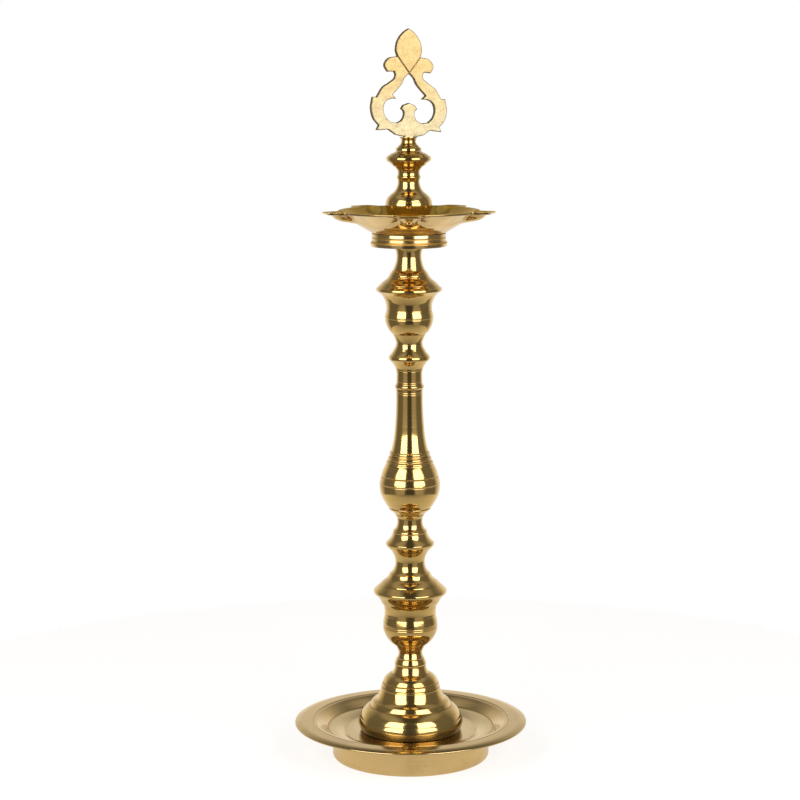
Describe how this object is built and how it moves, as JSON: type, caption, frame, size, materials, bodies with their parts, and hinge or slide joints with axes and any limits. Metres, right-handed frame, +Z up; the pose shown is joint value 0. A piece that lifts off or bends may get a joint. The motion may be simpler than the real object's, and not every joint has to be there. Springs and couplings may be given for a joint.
{
  "type": "standing oil lamp",
  "caption": "Tall turned-brass standing oil lamp: dished foot, screw-together baluster column, spouted oil pan and a pierced plate finial.",
  "frame": {"origin": "centre of the foot ring's underside, on the lamp's axis", "axes": "+Z up along the column; -Y towards the wick spout that faces the viewer; +X to the viewer's right"},
  "size_m": [0.196, 0.196, 0.6094],
  "materials": {
    "polished_brass": "mirror polished, fine turning lines",
    "satin_brass": "satin, hand filed and buffed",
    "threaded_brass": "machined, unpolished",
    "bare_steel": "zinc plated"
  },
  "bodies": {
    "base": {"base_tray": "polished_brass", "foot_ring": "polished_brass", "pedestal_dome": "polished_brass", "base_washer": "bare_steel", "base_bolt": "bare_steel"},
    "lower_thread": {"lower_stud": "threaded_brass"},
    "lower_section": {"lower_vase": "polished_brass"},
    "middle_thread": {"middle_stud": "threaded_brass"},
    "middle_section": {"middle_baluster": "polished_brass"},
    "upper_thread": {"upper_stud": "threaded_brass"},
    "upper_section": {"upper_vase": "polished_brass"},
    "pan_thread": {"pan_stud": "threaded_brass"},
    "pan": {"oil_pan": "polished_brass", "pan_foot_ring": "polished_brass"},
    "finial_thread": {"finial_stud": "threaded_brass"},
    "finial": {"finial_base": "polished_brass", "finial_neck": "polished_brass", "finial_plate": "satin_brass"}
  },
  "joints": [
    {"name": "lower_rise", "type": "slide", "parent": "base", "child": "lower_thread", "axis": [0, 0, 1], "range_m": [0, 0.0125]},
    {"name": "lower_unscrew", "type": "hinge", "parent": "lower_thread", "child": "lower_section", "pos_m": [0, 0, 0.089], "axis": [0, 0, 1], "range_deg": [0, 2250]},
    {"name": "middle_rise", "type": "slide", "parent": "lower_section", "child": "middle_thread", "axis": [0, 0, 1], "range_m": [0, 0.0125]},
    {"name": "middle_unscrew", "type": "hinge", "parent": "middle_thread", "child": "middle_section", "pos_m": [0, 0, 0.2076], "axis": [0, 0, 1], "range_deg": [0, 2250]},
    {"name": "upper_rise", "type": "slide", "parent": "middle_section", "child": "upper_thread", "axis": [0, 0, 1], "range_m": [0, 0.0125]},
    {"name": "upper_unscrew", "type": "hinge", "parent": "upper_thread", "child": "upper_section", "pos_m": [0, 0, 0.329], "axis": [0, 0, 1], "range_deg": [0, 2250]},
    {"name": "pan_rise", "type": "slide", "parent": "upper_section", "child": "pan_thread", "axis": [0, 0, 1], "range_m": [0, 0.0125]},
    {"name": "pan_unscrew", "type": "hinge", "parent": "pan_thread", "child": "pan", "pos_m": [0, 0, 0.438], "axis": [0, 0, 1], "range_deg": [0, 2250]},
    {"name": "finial_rise", "type": "slide", "parent": "pan", "child": "finial_thread", "axis": [0, 0, 1], "range_m": [0, 0.0125]},
    {"name": "finial_unscrew", "type": "hinge", "parent": "finial_thread", "child": "finial", "pos_m": [0, 0, 0.458], "axis": [0, 0, 1], "range_deg": [0, 2250]}
  ],
  "couplings": [
    {"joint": "lower_rise", "follows": "lower_unscrew", "m_per_rad": 0.0003183},
    {"joint": "middle_rise", "follows": "middle_unscrew", "m_per_rad": 0.0003183},
    {"joint": "upper_rise", "follows": "upper_unscrew", "m_per_rad": 0.0003183},
    {"joint": "pan_rise", "follows": "pan_unscrew", "m_per_rad": 0.0003183},
    {"joint": "finial_rise", "follows": "finial_unscrew", "m_per_rad": 0.0003183}
  ]
}
